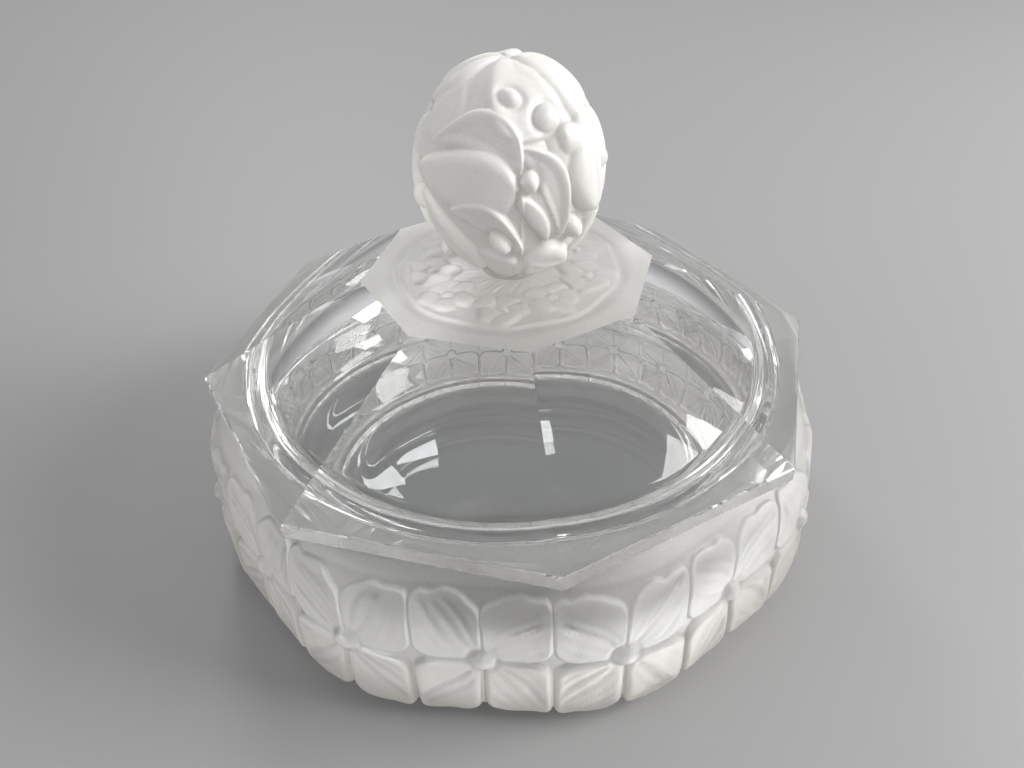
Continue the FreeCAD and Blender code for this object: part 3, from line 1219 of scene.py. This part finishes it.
@dataclass
class Knob:
    """The knob: an egg-shaped ball of frosted glass wrapped in overlapping petals and buds, on a
    short ground foot. The pattern of one half is repeated on the other.

    Attributes:
        front: Direction of the pattern's front and of the mould seam.
        foot_radius: Radius of the foot.
        foot_height: Height of the foot, up to the lowest ring of the ball.
        half_height: Half of the ball's height.
        depth: How far the ball's surface lies inside its outline where the relief is 0, in millimetres.
        seam_rise: Height of the seam, in millimetres.
        seam_width: Half width of the seam, in degrees.
        rows: Rings from the foot to the top.
        columns: Points round the knob.
        crowding: How far the points crowd towards the seam, from 0 to 1.
    """

    front: float = LID_TURN - math.pi / 2 + HALF_SIDE
    foot_radius: float = 6.6 * MM
    foot_height: float = 2.0 * MM
    half_height: float = 22.7 * MM
    depth: float = 2.75
    seam_rise: float = 0.36
    seam_width: float = 0.85
    rows: int = 250
    columns: int = 360
    crowding: float = 0.45

    def layer(self, petal: Petal, around: float, points: np.ndarray) -> np.ndarray:
        """Height of one petal. Along its bowed middle line its half width follows a leaf. Across
        it the petal slopes from its proud edge to its sunken one, with quarter-round shoulders.

        Args:
            petal: The petal.
            around: How far the pattern is turned, in degrees.
            points: Unit vectors.

        Returns:
            Heights in millimetres, far below 0 outside the petal.
        """
        root, tip = pointing(petal.root, around), pointing(petal.tip, around)
        centre = (root + tip) / np.linalg.norm(root + tip)
        ahead = (tip - root) / np.linalg.norm(tip - root)
        aside = np.cross(centre, ahead)
        x, y, depth = points @ ahead, points @ aside, points @ centre
        spread = np.arccos(np.clip(depth, -1.0, 1.0)) / np.maximum(np.hypot(x, y), 1e-6)
        x, y = np.degrees(x * spread), np.degrees(y * spread)
        half_length = math.degrees(math.acos(float(np.clip(root @ tip, -1.0, 1.0)))) / 2
        t = np.clip(x / half_length, -1.0, 1.0)
        width = petal.width * (1.0 - t * t) ** petal.point * (1.0 + petal.taper * t) + 1e-3
        offset = y - petal.bend * (1.0 - t * t)
        beyond = np.maximum(np.abs(x) - half_length, 0.0)
        inside = width - np.abs(offset) - 2.0 * beyond
        side = np.clip(offset / width, -1.0, 1.0) * petal.tilt
        reach = 3.0 + petal.width * (0.45 - 0.30 * side)
        shoulder = 1.0 - np.clip(inside / reach, 0.0, 1.0)
        fold = np.exp(-((offset / 2.0) ** 2)) * smooth_step(2.0, 7.0, inside)
        cup = smooth_step(1.5, 0.8 * petal.width, inside)
        body = petal.rise * (0.80 + 0.20 * side) - petal.hollow * cup - petal.rib * fold
        return np.where(inside > 0.0, (1.0 - shoulder**2) ** 0.6 * body, -5.0)

    def swayed(self, points: np.ndarray) -> np.ndarray:
        """The unit vectors moved a few degrees, so that no outline is a plain arc: the direction by
        a sine of the latitude, and the latitude by a sine of twice the direction.

        Args:
            points: Unit vectors.

        Returns:
            Unit vectors.
        """
        around = np.arctan2(points[..., 1], points[..., 0])
        up = np.arcsin(np.clip(points[..., 2], -1.0, 1.0))
        turned = around + 0.08 * np.sin(4.4 * up + 0.9) + 0.03 * np.sin(4.0 * around + 3.0 * up)
        raised = up + 0.06 * np.cos(up) * np.sin(2.0 * around + 0.6)
        return on_ball(turned, raised)

    def height(self, points: np.ndarray) -> np.ndarray:
        """Relief of the knob: the highest of all petals at each point, over a low layer of rounded
        gores that fills the gaps. Buds stand on that, each in its own shallow ditch, and a fine
        raised seam runs down the lower front and back.

        Args:
            points: Unit vectors in the pattern's own axes.

        Returns:
            Heights in millimetres.
        """
        from_seam = np.degrees(np.arcsin(np.clip(points[..., 1], -1.0, 1.0)))
        seam = self.seam_rise * np.exp(-((from_seam / self.seam_width) ** 2))
        seam = seam * smooth_step(0.62, 0.45, points[..., 2])
        points = self.swayed(points)
        around = np.degrees(np.arctan2(points[..., 1], points[..., 0]))
        gore = (around / 40.0 + 0.9 * points[..., 2]) % 1.0
        height = 1.3 * np.sqrt(1.0 - 0.95 * (2.0 * gore - 1.0) ** 2)
        for turn in (0.0, 180.0):
            for petal in HALF_PATTERN:
                layer = self.layer(petal, turn, points)
                height = (height + layer + np.sqrt((height - layer) ** 2 + 0.15**2)) / 2
        for turn in (0.0, 180.0):
            for bud in HALF_BUDS:
                middle = pointing(bud.place, turn)
                away = np.degrees(np.arccos(np.clip(points @ middle, -1.0, 1.0)))
                dome = 1.5 + (1.0 + bud.rise) * np.maximum(1.0 - (away / bud.radius) ** 2, 0.0) ** 0.7
                ditch = 0.5 * np.exp(-(((away - bud.radius - 0.5) / 2.4) ** 2))
                height = np.where(away < bud.radius, np.maximum(dome, height - ditch), height - ditch)
        return height + seam

    def build(self, frosted: bpy.types.Material) -> bpy.types.Object:
        """Makes the knob and puts it in the CAD knob's place.

        Args:
            frosted: Finish of the whole knob.

        Returns:
            The knob.
        """
        low, high = node_sizes("knob")
        middle = (low[:2] + high[:2]) / 2
        radius = (high[1] - low[1]) / 2
        foot = low[2] + AIR_GAP
        centre = high[2] - self.half_height

        around = self.front + 2 * math.pi * bunched(self.columns + 1, 0.5, 0.0, self.crowding)[:-1]
        lowest = math.asin((foot + self.foot_height - centre) / self.half_height)
        latitude = np.linspace(lowest, math.pi / 2 - 0.004, self.rows)[:, None]
        turned, raised = np.broadcast_arrays(around - self.front, latitude)
        height = self.height(on_ball(turned, raised))
        across = (radius + (height - self.depth) * MM) * np.cos(latitude)
        up = (self.half_height + (height - self.depth) * MM) * np.sin(latitude)
        x, y = middle[0] + across * np.cos(around), middle[1] + across * np.sin(around)
        ball = np.stack([x, y, centre + up], axis=2)
        stem_profile = (
            (2.0 * MM, foot),
            (self.foot_radius - 1.0 * MM, foot),
            (self.foot_radius - 0.1 * MM, foot + 0.2 * MM),
            (self.foot_radius, foot + 0.9 * MM),
        )
        stem = np.stack([round_ring(middle, r, around, z) for r, z in stem_profile])
        piece = closed_piece(
            "petal_knob",
            [
                Stretch(stem, Skin.FROSTED, relief=np.zeros(stem.shape[:2])),
                Stretch(ball, Skin.FROSTED, relief=np.clip(height / 3.4, 0.0, 1.0)),
            ],
            [frosted],
        )
        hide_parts("knob")
        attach(piece, "lid_body")
        return piece


# ---------------------------------------------------------------------------------------------
# Studio
# ---------------------------------------------------------------------------------------------


@dataclass(frozen=True)
class Softbox:
    """A rectangular area light that faces the jar.

    Attributes:
        name: The light's name.
        azimuth: Direction that it stands in, in degrees; 0 is in front and 90 to the right.
        elevation: Its height above the horizon, in degrees.
        distance: Distance from the jar.
        width: Width of the panel.
        height: Height of the panel.
        power: Watts.
        colour: Colour of its light.
    """

    name: str
    azimuth: float
    elevation: float
    distance: float
    width: float
    height: float
    power: float
    colour: tuple[float, float, float] = (1.0, 1.0, 1.0)

    def place(self, target: Vector) -> None:
        """Adds the light to the scene, facing the target.

        Args:
            target: The point that the light faces.
        """
        data = bpy.data.lights.new(self.name, "AREA")
        data.shape = "RECTANGLE"
        data.size, data.size_y = self.width, self.height
        data.energy, data.color = self.power, self.colour
        made = bpy.data.objects.new(self.name, data)
        away = direction(self.azimuth, self.elevation)
        made.location = target + away * self.distance
        made.rotation_euler = (-away).to_track_quat("-Z", "Y").to_euler()
        bpy.context.scene.collection.objects.link(made)


def direction(azimuth: float, elevation: float) -> Vector:
    """Unit vector towards an azimuth, 0 in front and 90 to the right, and an elevation, in degrees."""
    a, e = math.radians(azimuth), math.radians(elevation)
    return Vector((math.sin(a) * math.cos(e), -math.cos(a) * math.cos(e), math.sin(e)))


@dataclass
class Studio:
    """The pale floor, the soft lights and the camera.

    Attributes:
        azimuth: Direction of the camera from the jar, in degrees.
        elevation: Its height above the horizon.
        distance: From the middle of the lid's rim, as a multiple of the lid's corner radius.
        tilt: How far the view is aimed below that middle.
        roll: How far the camera is rolled.
        lens: Focal length in millimetres, for a 36 mm sensor.
    """

    azimuth: float = 6.1
    elevation: float = 35.1
    distance: float = 3.02
    tilt: float = -2.3
    roll: float = -1.75
    lens: float = 31.85

    def build(self) -> None:
        """Makes the floor, the world, the lights and the camera."""
        low, high = node_sizes("lid")
        corner = high[0] / math.cos(HALF_SIDE + LID_TURN)
        target = Vector((0.0, 0.0, low[2] + Lid.flange_depth + Lid.rim_edge))
        self.camera(target, self.distance * corner)
        self.floor()
        self.world()
        self.light_paths()
        for box in (
            Softbox("key", 90.0, 29.0, 0.85, 0.50, 0.34, 10.5, (1.0, 0.985, 0.96)),
            Softbox("window", 203.5, 34.0, 0.9, 0.21, 0.16, 1.7, (0.97, 0.985, 1.0)),
            Softbox("fill", -62.0, 24.0, 0.9, 0.5, 0.3, 1.0, (1.0, 0.985, 0.965)),
        ):
            box.place(target)

    def light_paths(self) -> None:
        """Lets light pass through as many walls of glass as a ray meets inside the closed jar."""
        cycles = bpy.context.scene.cycles
        cycles.max_bounces = cycles.transmission_bounces = cycles.glossy_bounces = 40
        bpy.context.scene.view_settings.view_transform = "Standard"

    def camera(self, target: Vector, distance: float) -> None:
        """Makes the camera. It looks at the target, then tilts and rolls by small angles.

        Args:
            target: Middle of the lid's rim.
            distance: From the camera to the target.
        """
        away = direction(self.azimuth, self.elevation)
        ahead = -away
        right = ahead.cross(Vector((0.0, 0.0, 1.0))).normalized()
        up = right.cross(ahead)
        ahead = (ahead + math.tan(math.radians(self.tilt)) * up).normalized()
        up = right.cross(ahead)
        roll = math.radians(self.roll)
        level, upright = right.copy(), up.copy()
        right = level * math.cos(roll) + upright * math.sin(roll)
        up = upright * math.cos(roll) - level * math.sin(roll)
        data = bpy.data.cameras.new("camera")
        data.lens, data.sensor_width = self.lens, 36.0
        data.clip_start = 0.01
        made = bpy.data.objects.new("camera", data)
        place = target + away * distance
        made.matrix_world = Matrix(
            (
                (right.x, up.x, -ahead.x, place.x),
                (right.y, up.y, -ahead.y, place.y),
                (right.z, up.z, -ahead.z, place.z),
                (0.0, 0.0, 0.0, 1.0),
            )
        )
        bpy.context.scene.collection.objects.link(made)
        bpy.context.scene.camera = made

    def floor(self) -> None:
        """Makes the floor: a wide flat sheet just under the jar."""
        reach = 3.0
        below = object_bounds()[0].z - AIR_GAP
        mesh = bpy.data.meshes.new("floor")
        corners = ((-reach, -reach), (reach, -reach), (reach, reach), (-reach, reach))
        mesh.from_pydata([(x, y, below) for x, y in corners], [], [(0, 1, 2, 3)])
        material, tree = new_material("pale_floor")
        paint = {"Base Color": (0.26, 0.26, 0.262, 1.0), "Roughness": 0.55}
        surface = tree.node("ShaderNodeBsdfPrincipled", {}, paint)
        tree.node("ShaderNodeOutputMaterial", {}, {"Surface": surface})
        mesh.materials.append(material)
        made = bpy.data.objects.new("floor", mesh)
        bpy.context.scene.collection.objects.link(made)
        made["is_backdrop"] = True

    def world(self) -> None:
        """Fills the room with soft light, dim at the horizon and brighter overhead."""
        world = bpy.data.worlds.new("room")
        world.use_nodes = True
        tree = Tree(world.node_tree)
        towards = tree.node("ShaderNodeTexCoord", {}, {}, "Generated")
        height = tree.node("ShaderNodeSeparateXYZ", {}, {"Vector": towards}, "Z")
        horizon, overhead = (0.22, 0.22, 0.222, 1.0), (0.73, 0.73, 0.74, 1.0)
        colour = tree.mixed_colour(height.band(0.0, 0.55), horizon, overhead)
        glow = tree.node("ShaderNodeBackground", {}, {"Color": colour, "Strength": 1.0})
        tree.node("ShaderNodeOutputWorld", {}, {"Surface": glow})
        bpy.context.scene.world = world


def main() -> None:
    """Builds the jar's three pieces and the studio, and reports each piece."""
    logging.basicConfig(level=logging.INFO, format="%(name)s: %(message)s")
    # Painted light: the lower half of the bowl is painted warmer and brighter for the light carried
    # through its thick base.
    painted_glow_cream = (0.985, 0.945, 0.89, 1.0)
    bowl_frost = FrostedGlass("bowl_frost", painted_glow_tone=painted_glow_cream, foot_height=19.6 * MM).material()
    lid_frost = FrostedGlass("lid_frost", bloom=(0.95, 0.925, 0.885, 1.0)).material()
    knob_frost = FrostedGlass("knob_frost", clarity=0.52).material()
    bowl_polish = PolishedGlass("bowl_polish").material()
    lid_polish = PolishedGlass("lid_polish").material()
    edge_satin = FrostedGlass("edge_satin", clarity=0.90, roughness=0.12, worn=0.06).material()
    pieces = [
        Bowl().build(bowl_frost, bowl_polish),
        Lid().build(lid_frost, lid_polish, edge_satin),
        Knob().build(knob_frost),
    ]
    Studio().build()
    for piece in pieces:
        mesh = piece.data
        LOG.info("%s: %d points, %d faces", piece.name, len(mesh.vertices), len(mesh.polygons))


if __name__ == "__main__":
    main()
